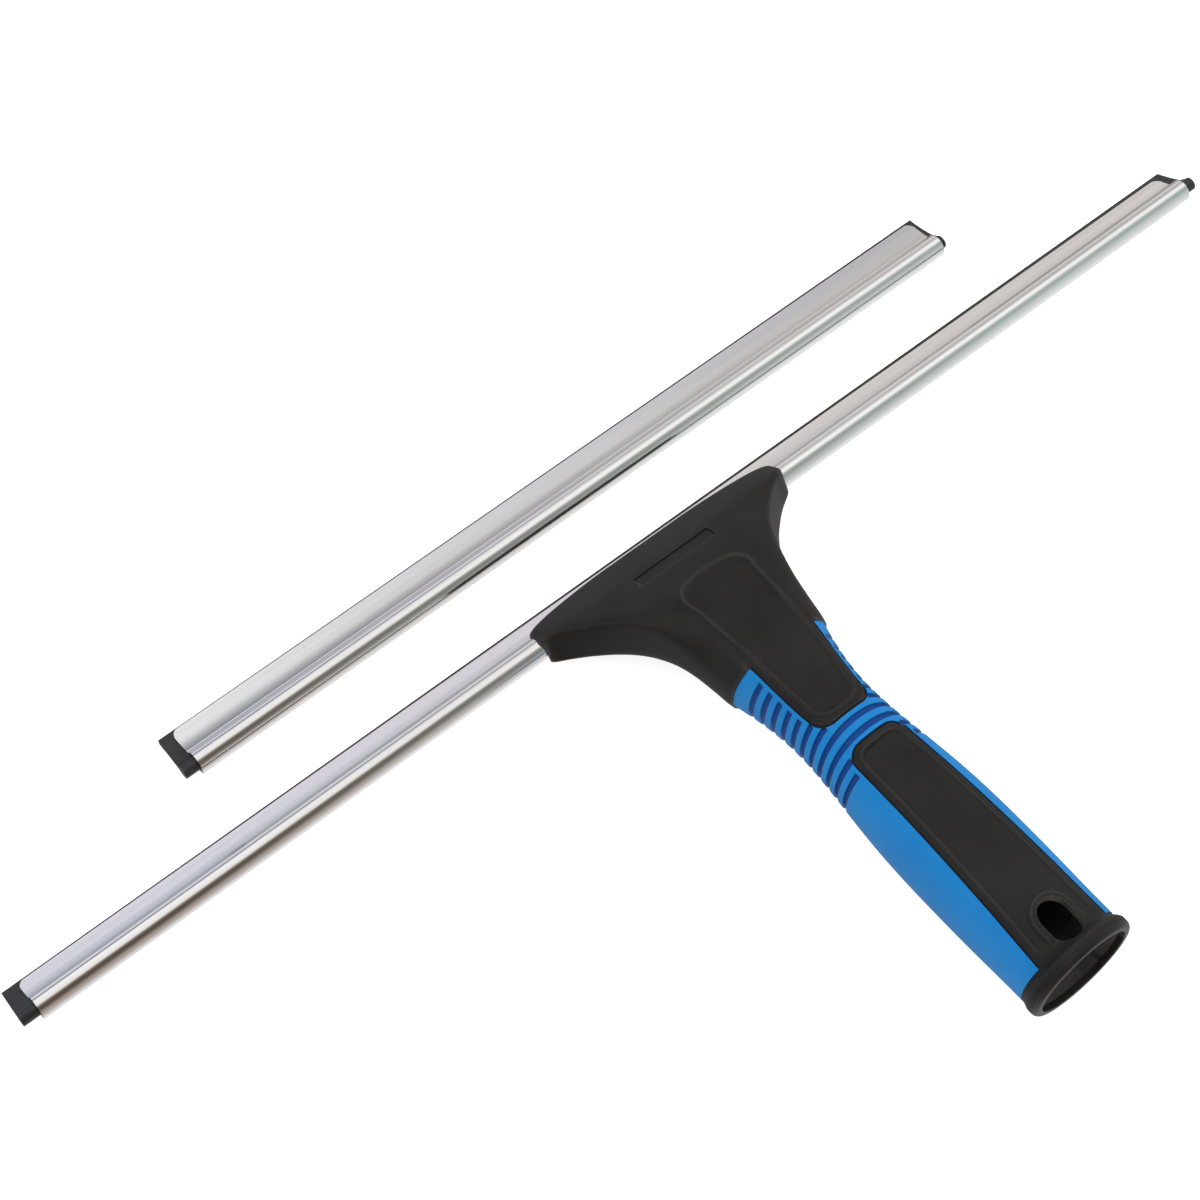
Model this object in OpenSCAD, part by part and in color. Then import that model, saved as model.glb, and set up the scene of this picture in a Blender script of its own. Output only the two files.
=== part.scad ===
// Window squeegee with a two-material handle, a mounted blade channel and a shorter spare channel.
// The origin is the centre of the pole socket's mouth. X runs along the blades, +Y from the mouth
// towards the blade, +Z up. The tool lies on its socket collar and on the edge of its blade.

/* [Handle] */
// Length of the handle from the socket mouth to the top of the soft grip
grip_len = 124; // [110:0.5:150]
// Distance from the top of the soft grip to the blade's wiping edge
neck_reach = 65.3; // [58:0.1:78]
// Width of the blade-holding head
head_w = 95; // [75:1:120]
// Angle between the blade and the handle
blade_tilt = 30.2; // [24:0.2:33]
// Radius of the collar round the socket mouth
collar_r = 18.2; // [17.5:0.1:22]
// Length of the collar
collar_len = 6.4; // [4:0.1:10]
// Half-width of the grip just above the collar
heel_r = 17; // [16.5:0.1:21]
// Half-width of the grip where the palm rests
palm_r = 17.4; // [16.8:0.1:21]
// Half-width of the grip at its waist
waist_r = 14.1; // [13:0.1:17]
// Half-width of the grip at its upper end
shoulder_r = 17.8; // [16:0.1:21]
// Distance from the mouth to the widest part of the palm
palm_y = 40; // [30:1:50]
// Distance from the mouth to the waist
waist_y = 100; // [84:1:104]
// How far the grip's centre line lies below the socket's axis
axis_drop = 1; // [0:0.1:2]
// How much flatter the grip is above than it is wide
top_flat = 1.3; // [0:0.1:2]
// Extra flattening of the top beside the collar
heel_flat = 2.6; // [0:0.1:3]
// How much flatter the grip is below than it is wide
belly_flat = 1.3; // [0:0.1:2]
// Thickness of the soft grip over the hard core
sleeve_t = 2.2; // [1.5:0.1:3]

/* [Grip grooves] */
// Number of finger grooves round the waist
groove_count = 11; // [5:1:12]
// Distance between neighbouring grooves
groove_pitch = 3.9; // [3:0.05:4]
// Distance from the mouth to the lowest groove
groove_start = 79.2; // [72:0.2:82]
// Width of a groove at the surface
groove_w = 1.9; // [1:0.1:2.4]
// Depth of a groove
groove_d = 0.9; // [0.4:0.05:1.2]
// How far the grooves bow towards the head over the top of the grip
groove_bow = 2.4; // [0:0.1:4]

/* [Hard windows in the grip] */
// Half-width of the palm window at the collar
palm_win_w = 13.2; // [10:0.1:14]
// Half-width of the palm window where its corners start
palm_win_tip_w = 9.7; // [7:0.1:11]
// Distance from the mouth to the end of the palm window
palm_win_end = 86.5; // [60:0.5:88]
// Half-width of the thumb tongue at the top of the grip
tongue_w = 13; // [10:0.1:14]
// Half-width of the thumb tongue where its corners start
tongue_tip_w = 9.4; // [7:0.1:11]
// Distance from the mouth to the end of the thumb tongue
tongue_end = 95.6; // [94:0.2:105]
// Corner radius of the windows
win_corner_r = 5; // [2:0.1:6]

/* [Pole socket] */
// Radius of the straight bore that takes the pole
socket_r = 12; // [10:0.1:12.2]
// Length of the straight bore
socket_len = 32; // [20:1:36]
// Radius of the straight mouth
mouth_r = 15.4; // [14:0.1:16]
// Length of the straight mouth
mouth_len = 2; // [1:0.5:3]
// Radius of the socket behind the mouth's lead-in cone
throat_r = 12.4; // [12.2:0.1:12.6]
// Distance from the mouth to the end of the slim taper
taper_end = 22; // [21:0.5:30]
// Width of the hanging hole
hang_w = 9.6; // [6:0.1:11]
// Length of the hanging hole
hang_len = 13.8; // [12:0.1:15]
// Distance from the mouth to the middle of the hanging hole
hang_y = 12.2; // [11.5:0.1:14.5]

/* [Channels] */
// Length of the mounted channel
long_len = 448.7; // [350:0.1:560]
// Length of the spare channel
short_len = 296; // [240:1:360]
// Outer radius of the channel's tube
tube_r = 3.7; // [3.4:0.05:4.4]
// Thickness of the steel sheet
sheet_t = 0.7; // [0.5:0.05:0.9]
// Distance from the wiping edge back to the tube's centre
tube_back = 14.2; // [12:0.1:16]
// Distance from the wiping edge to the edge of the upper flange
upper_back = 1.6; // [1:0.1:3]
// Distance from the wiping edge to the edge of the lower flange
lower_back = 4; // [3:0.1:6]
// Sag of the hollow upper flange between its edge and the tube
flange_sag = 0.5; // [0.2:0.05:0.9]
// Corner radius of the flanges
flange_corner_r = 3; // [1:0.1:4]
// Length of the clips that hold the rubber in the tube's ends
clip_len = 7; // [4:0.5:10]

/* [Rubbers] */
// Thickness of the blade at the wiping edge
blade_t = 2; // [1.4:0.1:2.4]
// Thickness of the thin neck between blade and bead
rubber_neck_t = 1.3; // [1:0.05:1.6]
// Radius of the bead inside the tube
bead_r = 2.4; // [2:0.05:2.5]
// How far each bead's ends stand out past the blade's ends
bead_over = 0.8; // [0:0.1:1.5]
// Overhang of the mounted rubber at its left end
long_over_left = 4.7; // [2:0.1:8]
// Overhang of the mounted rubber at its right end
long_over_right = 3.5; // [2:0.1:8]
// Overhang of the spare rubber at its left end
short_over_left = 4; // [2:0.1:8]
// Overhang of the spare rubber at its right end
short_over_right = 1.4; // [1:0.1:8]
// Distance between the two wiping edges as the spare lies beside the tool
spare_gap = 38.1; // [25:0.1:60]
// Sideways place of the spare channel's middle
spare_x = 1.7; // [-40:0.1:40]
// Small turn of the spare as it lies
spare_turn = 0.23; // [-5:0.01:5]
// Sideways place of the mounted channel's middle in the head
long_x = 0.6; // [-10:0.1:10]

/* [Head and lock] */
// Height of the head's top face above the blade plane
head_up = 6.7; // [6:0.1:8]
// Depth of the head's skirt below the blade plane
head_down = 6.9; // [6.2:0.1:8]
// Distance from the wiping edge back to the head's front lip
lip_back = 5; // [4:0.1:7]
// Width of the lock lever
lever_w = 24; // [16:0.5:28]
// Thickness of the lock lever
lever_t = 4; // [3:0.1:5]
// Length of the lock lever from its pin to the finger end
lever_tail = 22; // [18:0.5:24]
// Radius of the lever's pin
pin_r = 1.5; // [1:0.1:2]
// Travel of the lock lever in degrees
lever_travel = 8; // [4:0.5:9]
// Thickness of the rubber pad that bears on the tube
pad_t = 2; // [1.5:0.1:2.5]
// Turns of the lever's spring
spring_turns = 4; // [3:1:6]
// Mean radius of the lever's spring
spring_r = 2.6; // [2:0.1:3]
// Wire radius of the lever's spring
spring_wire_r = 0.35; // [0.25:0.05:0.45]

/* [Clearances] */
// Gap between the channel and the slot in the head
channel_gap = 0.3; // [0.2:0.05:0.4]
// Gap between a rubber and the steel round it
rubber_gap = 0.1; // [0.08:0.01:0.2]
// Gap round the lock lever in its pocket
pocket_gap = 0.5; // [0.4:0.05:0.8]
// Running gap round the lever's pin
pin_gap = 0.05; // [0.03:0.01:0.08]
// Gap between the lock pad and the tube
pad_gap = 0.2; // [0.15:0.05:0.4]

/* [Hidden] */
$fn = 64;
slice_sides = 36;                      // points round one section of the handle
sleeve_gap = 0.02;                     // between the moulded sleeve and the hard core
e = 0.01;                              // small overlap where solids of one piece merge

floor_z = -collar_r;                   // the surface that the tool lies on
tip_y = grip_len + neck_reach;         // wiping edge of the mounted blade
tip_z = floor_z + blade_t / 2 * cos(blade_tilt);
bore_r = tube_r - sheet_t;             // inside of the channel's tube
flange_h = rubber_neck_t / 2 + rubber_gap;                 // inner face of both flanges
slot_h = flange_h + sheet_t + flange_sag + channel_gap;    // half the slot in the head
slot_r = tube_r + channel_gap;
hang_up = palm_r + 2;                  // reach of the cuts that pass right through the grip

// Signed power, for sections that are rounder or squarer than an ellipse
function spow(v, p) = sign(v) * pow(abs(v), p);
function mix(a, b, t) = a + (b - a) * t;
function ease(t) = (1 - cos(180 * t)) / 2;

// One section of the handle: [y, z, tilt, half-width, height, depth, squareness above and below]
function ring(y, z, tilt, w, up, down, sq_up, sq_down) = [y, z, tilt, w, up, down, sq_up, sq_down];
function mix_ring(a, b, t) = [for (i = [0 : 7]) mix(a[i], b[i], t)];

// The same section drawn in by d on every side
function inset_ring(r, d) = [r[0], r[1], r[2], r[3] - d, r[4] - d, r[5] - d, r[6], r[7]];

// Half-width of the grip at distance y from the mouth
function grip_w(y) =
    y < palm_y ? mix(heel_r, palm_r, ease(max(0, y - collar_len) / (palm_y - collar_len)))
    : y < waist_y ? mix(palm_r, waist_r, ease(pow((y - palm_y) / (waist_y - palm_y), 1.4)))
    : mix(waist_r, shoulder_r, pow((y - waist_y) / (grip_len - waist_y), 2));

shoulder_up = 15.6;                    // the shoulder is wider than it is high
shoulder_down = 13;
heel_run = 26;                         // the extra flattening fades out over this length
function shoulder_part(y) = y < waist_y ? 0 : pow((y - waist_y) / (grip_len - waist_y), 1.5);
function heel_part(y) = max(0, 1 - y / heel_run);
function grip_ring(y) = ring(y, -axis_drop * min(1, y / heel_run), 0, grip_w(y),
    mix(grip_w(y) - top_flat - heel_flat * heel_part(y), shoulder_up, shoulder_part(y)),
    mix(grip_w(y) - belly_flat * min(1, y / palm_y), shoulder_down, shoulder_part(y)), 2.25, 2.25);

// A point s behind the wiping edge and h above the blade plane
function plate_y(s, h) = tip_y - s * cos(blade_tilt) + h * sin(blade_tilt);
function plate_z(s, h) = tip_z + s * sin(blade_tilt) + h * cos(blade_tilt);

head_flat_end = tube_back + 1;         // the head keeps its full width back to here
head_back = 44;                        // the head has narrowed into the neck here
head_back_w = 24;
lip_len = 5.5;                         // the bowed front lip reaches full width over this length
function head_half(s) =
    s < lip_back + lip_len ? head_w / 2 * sqrt(1 - pow(1 - max(0.003, (s - lip_back) / lip_len), 2))
    : s < head_flat_end ? head_w / 2
    : mix(head_back_w, head_w / 2, pow(1 - (s - head_flat_end) / (head_back - head_flat_end), 1.55));
function head_rise(s) = head_up - (head_up - 3) * pow(max(0, 1 - (s - lip_back) / 11), 1.6);
function head_fall(s) = s < 22 ? head_down - (head_down - 2.6) * pow(max(0, 1 - (s - lip_back) / 9), 1.6)
    : mix(head_down, 13, pow((s - 22) / (head_back - 22), 2));
function head_part(s) = max(0, (s - 22) / (head_back - 22));
function head_ring(s) = ring(plate_y(s, 0), plate_z(s, 0), blade_tilt, head_half(s), head_rise(s),
    head_fall(s), mix(8, 2.6, pow(head_part(s), 0.6)), mix(9, 4, head_part(s)));

head_stations = [43.9, 41, 38, 35, 32, 29, 26, 23, 20.5, 18, 16, 15, 12.5, 10.4, 9, 7.8, 6.8, 6, 5.4, 5.02];
neck_start = ring(grip_len + sleeve_gap, -axis_drop, 0, shoulder_r + 0.6, shoulder_up + 0.2,
                  shoulder_down + 0.4, 2.4, 2.3);
neck_steps = 7;
neck_waist = 1.9;                      // how late the neck widens towards the head

// The points of one section, bowed towards the head over its upper half
function section(r, bow = 0) = [for (i = [0 : slice_sides - 1])
    let (a = 360 * i / slice_sides, q = sin(a) > 0 ? r[6] : r[7],
         x = r[3] * spow(cos(a), 2 / q),
         h = (sin(a) > 0 ? r[4] : r[5]) * spow(sin(a), 2 / q))
    [x, r[0] + h * sin(r[2]) + bow * pow(max(0, sin(a)), 2), r[1] + h * cos(r[2])]];

// A closed skin through a list of sections, all with the same number of points
module loft(sections) {
    n = len(sections[0]);
    last = len(sections) - 1;
    points = [for (s = sections, p = s) p];
    sides = [for (k = [0 : last - 1], i = [0 : n - 1])
        let (a = k * n + i, b = k * n + (i + 1) % n) each [[a, b, b + n], [a, b + n, a + n]]];
    polyhedron(points, concat([[for (i = [n - 1 : -1 : 0]) i]], sides,
                              [[for (i = [0 : n - 1]) last * n + i]]), convexity = 10);
}

// Grip sections from the collar to the sleeve's upper end
grip_stations = [for (y = [collar_len : 7 : groove_start - groove_w - 1]) y];
upper_start = groove_start + (groove_count - 1) * groove_pitch + groove_w + 0.4;
function bow_at(y) = groove_bow * max(0, sin(180 * min(1, max(0, (y - groove_start + 8)
    / (groove_count * groove_pitch + 10)))));

module grip_solid(d, from_y, to_y) {
    stations = concat([from_y], [for (y = [from_y + 6 : 6 : to_y - 3]) y], [to_y]);
    loft([for (y = stations) section(inset_ring(grip_ring(y), d))]);
}

// Sleeve sections: every groove is four sections, the middle two drawn in
module grooved_solid() {
    grooves = [for (g = [0 : groove_count - 1]) groove_start + g * groove_pitch];
    plain_low = [for (y = grip_stations) section(grip_ring(y))];
    cut = [for (y = grooves, k = [[-0.5, 0], [-0.25, 1], [0.25, 1], [0.5, 0]])
        section(inset_ring(grip_ring(y + k[0] * groove_w), k[1] * groove_d), bow_at(y))];
    plain_high = [for (y = [upper_start, (upper_start + grip_len) / 2]) section(grip_ring(y))];
    loft(concat(plain_low, cut, plain_high, [section(grip_ring(grip_len))]));
}

// Outline of a window that tapers to a round-cornered end, seen from above
module window_2d(w0, y0, w1, y1, r, grow = 0) {
    offset(r = r + grow, $fn = 32) offset(delta = -r)
        polygon([[-w0, y0], [w0, y0], [w1, y1], [-w1, y1]]);
}

module palm_window_2d(grow = 0) {
    window_2d(palm_win_w, -win_corner_r - 4, palm_win_tip_w, palm_win_end, win_corner_r, grow);
}

module tongue_2d(grow = 0) {
    window_2d(tongue_w, grip_len + win_corner_r + 4, tongue_tip_w, tongue_end, win_corner_r, grow);
}

// Hard islands that come up through the sleeve, as tall prisms
module islands(grow = 0) {
    linear_extrude(height = hang_up) {
        palm_window_2d(grow);
        tongue_2d(grow);
    }
}

// Slot through both walls of the grip, open up and down
module hanging_slot(grow = 0) {
    r = hang_w / 2 + grow;
    for (k = [-1, 1])
        translate([0, hang_y + k * (hang_len - hang_w) / 2, -hang_up])
            cylinder(r = r, h = 2 * hang_up);
    translate([-r, hang_y - (hang_len - hang_w) / 2, -hang_up])
        cube([2 * r, hang_len - hang_w, 2 * hang_up]);
}

// Places what is drawn in the blade's own plane: tip at the origin, the tube at -Y
module on_blade(y, z, tilt) {
    translate([0, y, z]) rotate([-tilt, 0, 0]) children();
}

// Runs a section drawn in (Y, Z) along X, centred
module along_x(length) {
    rotate([90, 0, 90]) translate([0, 0, -length / 2]) linear_extrude(height = length) children();
}

module head_solid() {
    low = head_ring(head_stations[0]);
    neck = [for (i = [0 : neck_steps - 1])
        let (t = i / neck_steps, r = mix_ring(neck_start, low, t))
        section([r[0], r[1], r[2], mix(neck_start[3], low[3], pow(t, neck_waist)),
                 r[4], mix(neck_start[5], low[5], pow(t, neck_waist)), r[6], r[7]])];
    loft(concat(neck, [for (s = head_stations) section(head_ring(s))]));
}

// The path of the channel through the head, with its running gap
module channel_path() {
    on_blade(tip_y, tip_z, blade_tilt) {
        translate([-head_w, -tube_back, 0]) rotate([0, 90, 0]) cylinder(r = slot_r, h = 2 * head_w);
        translate([-head_w, -tube_back, -slot_h]) cube([2 * head_w, 2 * tube_back, 2 * slot_h]);
    }
}

// Lock lever: where it lies under the neck
pivot_y = tip_y - 37;
lever_z = floor_z + 3.4;               // underside of the lever
pivot_z = lever_z + lever_t / 2 + 0.6;
pin_len = lever_w + 6;                 // ends blind in the housing's walls
tube_y = plate_y(tube_back, 0);        // centre of the mounted channel's tube
tube_z = plate_z(tube_back, 0);
nose_y = tube_y - sqrt(pow(tube_r + pad_gap + pad_t, 2) - pow(tube_z - lever_z - lever_t / 2, 2)) - 0.6;
spring_y = pivot_y - lever_tail + 6;
swing = lever_tail * sin(lever_travel);
pocket_top = lever_z + lever_t + swing + 1.2;
spring_z0 = lever_z + lever_t - 0.8;   // the spring sits in a shallow seat in the lever

housing_w = lever_w + 7;               // the block under the neck that holds the lever
housing_z = lever_z - 0.6;
module lever_housing() {
    front = tube_y - tube_r - 1;
    back = grip_len + 8;
    top = pocket_top + 3;
    translate([-housing_w / 2, 0, 0]) rotate([90, 0, 90]) linear_extrude(height = housing_w)
        polygon([[back, top], [back + 15, housing_z], [front, housing_z], [front, lever_z + lever_t],
                 [front - 12, top]]);
}

module lever_pocket() {
    half = lever_w / 2 + pocket_gap;
    // Room for the finger end to swing up
    translate([-half, pivot_y - lever_tail - 1.5, floor_z - 1])
        cube([2 * half, lever_tail + 1.5, pocket_top - floor_z + 1]);
    // Room for the nose, up to the tube
    translate([-half, pivot_y - e, floor_z - 1])
        cube([2 * half, tube_y - pivot_y - 1, lever_z + lever_t + 2.4 - floor_z + 1]);
    // Mouth of the pocket under the tube
    translate([-half, nose_y - e, floor_z - 1]) cube([2 * half, 7, tube_z - floor_z + 1]);
}

module pole_socket() {
    throat_y = mouth_len + (mouth_r - throat_r) * 1.5;
    rotate([-90, 0, 0]) {
        translate([0, 0, -1]) cylinder(r = mouth_r, h = 1 + mouth_len);
        translate([0, 0, mouth_len - e])
            cylinder(r1 = mouth_r, r2 = throat_r, h = throat_y - mouth_len + 2 * e);
        translate([0, 0, throat_y]) cylinder(r1 = throat_r, r2 = socket_r, h = taper_end - throat_y);
        translate([0, 0, taper_end - e]) cylinder(r = socket_r, h = socket_len + e);
    }
}

module collar() {
    rotate([-90, 0, 0]) rotate_extrude() polygon([[0, 0], [collar_r - 1.5, 0], [collar_r - 0.7, 0.5],
        [collar_r - 0.2, 1.4], [collar_r, 2.6], [collar_r - 0.2, 4], [collar_r - 0.6, 5.2],
        [heel_r, collar_len - sleeve_gap], [0, collar_len - sleeve_gap]]);
}

// Plain shallow cartouche in the top of the head
module head_recess() {
    recess_w = 29;
    recess_len = 6;
    on_blade(tip_y, tip_z, blade_tilt)
        translate([-recess_w / 2, -28.5, head_up - 0.5]) cube([recess_w, recess_len, 3]);
}

module handle_core() {
    color("#2e2c2d") difference() {
        union() {
            grip_solid(sleeve_t, collar_len - 1, grip_len + 4);
            intersection() {
                grip_solid(0, collar_len - 1, grip_len + 4);
                islands();
            }
            collar();
            head_solid();
            lever_housing();
        }
        pole_socket();
        hanging_slot();
        channel_path();
        lever_pocket();
        head_recess();
        translate([-pin_len / 2 - sleeve_gap, pivot_y, pivot_z]) rotate([0, 90, 0])
            cylinder(r = pin_r + sleeve_gap, h = pin_len + 2 * sleeve_gap);
        translate([0, spring_y, pocket_top - e]) cylinder(r = spring_r + spring_wire_r + 0.4, h = 1.6);
    }
}

module grip_sleeve() {
    color("#1d72c4") difference() {
        grooved_solid();
        grip_solid(sleeve_t - sleeve_gap, collar_len - 1, grip_len + 4);
        islands(sleeve_gap);
        hanging_slot(0.6);
        translate([0, grip_len, 0]) rotate([-90, 0, 0]) cylinder(r = 30, h = 10);
    }
}

// Distance from the pivot to the foot of the pad
nose_len = nose_y - pivot_y;

module lock_lever() {
    color("#3a3a3c") difference() {
        union() {
            translate([-lever_w / 2, pivot_y - lever_tail, lever_z])
                cube([lever_w, lever_tail + nose_len, lever_t]);
            translate([-lever_w / 2, pivot_y, pivot_z]) rotate([0, 90, 0])
                cylinder(r = pin_r + 1.5, h = lever_w);
            // Raised finger ridges on the underside of the free end
            for (k = [0 : 3])
                translate([-lever_w / 2 + 3, pivot_y - lever_tail + 2.5 + 2.4 * k, lever_z])
                    rotate([0, 90, 0]) cylinder(r = 0.5, h = lever_w - 6, $fn = 24);
        }
        translate([-lever_w / 2 - 1, pivot_y, pivot_z]) rotate([0, 90, 0])
            cylinder(r = pin_r + pin_gap, h = lever_w + 2);
        translate([0, spring_y, spring_z0]) cylinder(r = spring_r + spring_wire_r + 0.3, h = 5);
    }
}

// Soft pad on the lever's nose, hollowed to the tube
module jaw_pad() {
    color("#1b1b1b") difference() {
        translate([-lever_w / 2 + 1, nose_y, lever_z + 0.3]) cube([lever_w - 2, pad_t + 2, lever_t + 0.6]);
        translate([-lever_w, tube_y, tube_z]) rotate([0, 90, 0])
            cylinder(r = tube_r + pad_gap, h = 2 * lever_w);
    }
}

module lever_pin() {
    color("#c8cacc") translate([-pin_len / 2, pivot_y, pivot_z]) rotate([0, 90, 0])
        cylinder(r = pin_r, h = pin_len);
}

// Coil spring as a tube swept along a helix
module lever_spring() {
    steps = 14;
    height = pocket_top + 1.4 - spring_z0 - 2 * spring_wire_r - 0.1;
    helix = [for (i = [0 : steps * spring_turns])
        let (a = 360 * i / steps, z = spring_z0 + 0.05 + spring_wire_r + height * i / (steps * spring_turns))
        [for (k = [0 : 7])
            let (rr = spring_r + spring_wire_r * cos(45 * k))
            [rr * cos(a), spring_y - rr * sin(a), z + spring_wire_r * sin(45 * k)]]];
    color("#b9bcc0") loft(helix);
}

// Steel sheet folded into a tube with two flanges, drawn in (Y, Z) with the wiping edge at 0
module channel_2d() {
    span = tube_back - upper_back;
    arc_r = (span * span / 4 + flange_sag * flange_sag) / (2 * flange_sag);
    mid = -(tube_back + upper_back) / 2;
    top = flange_h + flange_sag;
    difference() {
        union() {
            translate([-tube_back, 0]) circle(r = tube_r);
            // Upper flange, hollow along its length
            difference() {
                translate([-tube_back, flange_h]) square([span, sheet_t + flange_sag]);
                translate([mid, flange_h + sheet_t + arc_r]) circle(r = arc_r, $fn = 256);
            }
            // Lower flange, flat
            translate([-tube_back, -flange_h - sheet_t]) square([tube_back - lower_back, sheet_t]);
        }
        translate([-tube_back, 0]) circle(r = bore_r);
        translate([-tube_back, -flange_h]) square([tube_back, 2 * flange_h]);
    }
}

// Cuts that round the flange corners at both ends of a channel
module corner_cuts(length) {
    for (k = [-1, 1])
        translate([k * (length / 2 - flange_corner_r), -upper_back - flange_corner_r, 0])
            difference() {
                translate([k > 0 ? 0 : -flange_corner_r - 1, 0, -5])
                    cube([flange_corner_r + 1, flange_corner_r + 1, 10]);
                translate([0, 0, -6]) cylinder(r = flange_corner_r, h = 12);
            }
}

module channel(length) {
    difference() {
        along_x(length) channel_2d();
        corner_cuts(length);
    }
}

// Rubber section: thick blade, thin neck and round bead
module bead_2d() {
    translate([-tube_back, 0]) circle(r = bead_r);
    translate([-tube_back, -rubber_neck_t / 2]) square([bead_r + 1.5, rubber_neck_t]);
}

module rubber_2d() {
    translate([-tube_back, -rubber_neck_t / 2]) square([tube_back - upper_back + 0.1, rubber_neck_t]);
    polygon([[-lower_back + 0.4, -rubber_neck_t / 2], [-lower_back + 1, -blade_t / 2], [0, -blade_t / 2],
             [0, blade_t / 2], [-upper_back + 0.4, blade_t / 2], [-upper_back + 0.1, rubber_neck_t / 2]]);
}

module rubber(length) {
    along_x(length) rubber_2d();
    along_x(length + 2 * bead_over) bead_2d();
}

// Split ring that pinches the bead in one end of a tube
module clip() {
    difference() {
        along_x(clip_len) difference() {
            translate([-tube_back, 0]) circle(r = bore_r - 0.02);
            translate([-tube_back, 0]) circle(r = bead_r + rubber_gap);
        }
        translate([-clip_len, -tube_back, -bead_r]) cube([2 * clip_len, tube_back, 2 * bead_r]);
    }
}

// The mounted blade
module long_place() {
    translate([long_x, 0, 0]) on_blade(tip_y, tip_z, blade_tilt) children();
}

// The spare lies on its tube and on the edge of its blade
spare_tilt = asin(tube_r / norm([tube_back, blade_t / 2])) - atan(blade_t / 2 / tube_back);
module short_place() {
    translate([spare_x, tip_y + spare_gap, 0]) rotate([0, 0, spare_turn])
        on_blade(0, floor_z + blade_t / 2 * cos(spare_tilt), spare_tilt) children();
}

module long_channel() {
    color("#d6d6d4") long_place() channel(long_len);
}

module long_rubber() {
    color("#222224") long_place() translate([(long_over_right - long_over_left) / 2, 0, 0])
        rubber(long_len + long_over_left + long_over_right);
}

module long_clip_left() {
    color("#39393b") long_place() translate([-(long_len - clip_len) / 2, 0, 0]) clip();
}

module long_clip_right() {
    color("#39393b") long_place() translate([(long_len - clip_len) / 2, 0, 0]) clip();
}

module short_channel() {
    color("#d6d6d4") short_place() channel(short_len);
}

module short_rubber() {
    color("#222224") short_place() translate([(short_over_right - short_over_left) / 2, 0, 0])
        rubber(short_len + short_over_left + short_over_right);
}

module short_clip_left() {
    color("#39393b") short_place() translate([-(short_len - clip_len) / 2, 0, 0]) clip();
}

module short_clip_right() {
    color("#39393b") short_place() translate([(short_len - clip_len) / 2, 0, 0]) clip();
}

handle_core();
grip_sleeve();
lock_lever();
jaw_pad();
lever_pin();
lever_spring();
long_channel();
long_rubber();
long_clip_left();
long_clip_right();
short_channel();
short_rubber();
short_clip_left();
short_clip_right();
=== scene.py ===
"""Window squeegee with a two-part handle, a mounted blade channel and a spare channel beside it.

Sizes are in millimetres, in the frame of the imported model: X along the blades, Y from the socket
mouth towards the blade, Z up. They are turned into metres as each mesh is placed.
"""

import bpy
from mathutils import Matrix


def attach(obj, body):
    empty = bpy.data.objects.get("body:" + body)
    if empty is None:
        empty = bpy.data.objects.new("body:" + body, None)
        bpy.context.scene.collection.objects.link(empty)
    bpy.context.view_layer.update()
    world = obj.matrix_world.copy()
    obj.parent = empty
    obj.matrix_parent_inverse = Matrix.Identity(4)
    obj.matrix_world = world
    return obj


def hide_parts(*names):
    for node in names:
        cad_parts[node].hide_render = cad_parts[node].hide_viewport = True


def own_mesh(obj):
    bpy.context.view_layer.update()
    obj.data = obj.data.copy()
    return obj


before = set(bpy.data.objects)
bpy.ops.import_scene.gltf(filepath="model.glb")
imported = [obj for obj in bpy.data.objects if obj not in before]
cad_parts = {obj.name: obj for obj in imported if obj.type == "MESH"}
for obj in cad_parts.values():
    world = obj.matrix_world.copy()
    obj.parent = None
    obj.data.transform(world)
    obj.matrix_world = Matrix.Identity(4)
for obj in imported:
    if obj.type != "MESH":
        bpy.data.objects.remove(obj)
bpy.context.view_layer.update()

import bpy
import math
from mathutils import Vector, Matrix

MM = 0.001

# ---------------------------------------------------------------- sizes of the tool

GRIP_LEN = 124.0
COLLAR_R = 18.2
COLLAR_LEN = 6.4
FLOOR_Z = -COLLAR_R
BLADE_T = 2.0
TILT = math.radians(30.2)
TIP_Y = GRIP_LEN + 65.3
TIP_Z = FLOOR_Z + BLADE_T / 2 * math.cos(TILT)
TUBE_R = 3.7
TUBE_BACK = 14.2
SHEET_T = 0.7
LOWER_BACK = 4.0
FLANGE_H = 0.75
FLANGE_ROOT = 8.7
SLEEVE_T = 2.2
HEAD_W = 95.0
LIP_BACK = 5.0
GROOVE_START, GROOVE_PITCH, GROOVE_COUNT, GROOVE_DEPTH = 79.2, 3.9, 11, 0.9
GROOVES = [GROOVE_START + GROOVE_PITCH * g for g in range(GROOVE_COUNT)]
SOCKET_R, THROAT_R, MOUTH_R = 12.0, 12.4, 15.4

# The lock under the neck
LEVER_W, LEVER_T, LEVER_TAIL = 24.0, 4.0, 22.0
LEVER_TRAVEL = math.radians(8)
LEVER_Z = FLOOR_Z + 3.4
PIN_R = 1.5
PIVOT_Y = TIP_Y - 37
PIVOT_Z = LEVER_Z + LEVER_T / 2 + 0.6
POCKET_TOP = LEVER_Z + LEVER_T + LEVER_TAIL * math.sin(LEVER_TRAVEL) + 1.2
SPRING_Y = PIVOT_Y - LEVER_TAIL + 6

# The channels and their rubbers: length of the steel, then how far the rubber stands out at each end
LONG_LEN, LONG_OVER_LEFT, LONG_OVER_RIGHT = 448.7, 4.7, 3.5
SHORT_LEN, SHORT_OVER_LEFT, SHORT_OVER_RIGHT = 296.0, 4.0, 1.4
LONG_X, SPARE_X, SPARE_GAP = 0.6, 1.7, 38.1
CORNER_R = 3.0

SPARE_TILT = math.asin(TUBE_R / math.hypot(TUBE_BACK, BLADE_T / 2)) - math.atan(BLADE_T / 2 / TUBE_BACK)
SPARE_TURN = math.radians(0.23)


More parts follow.
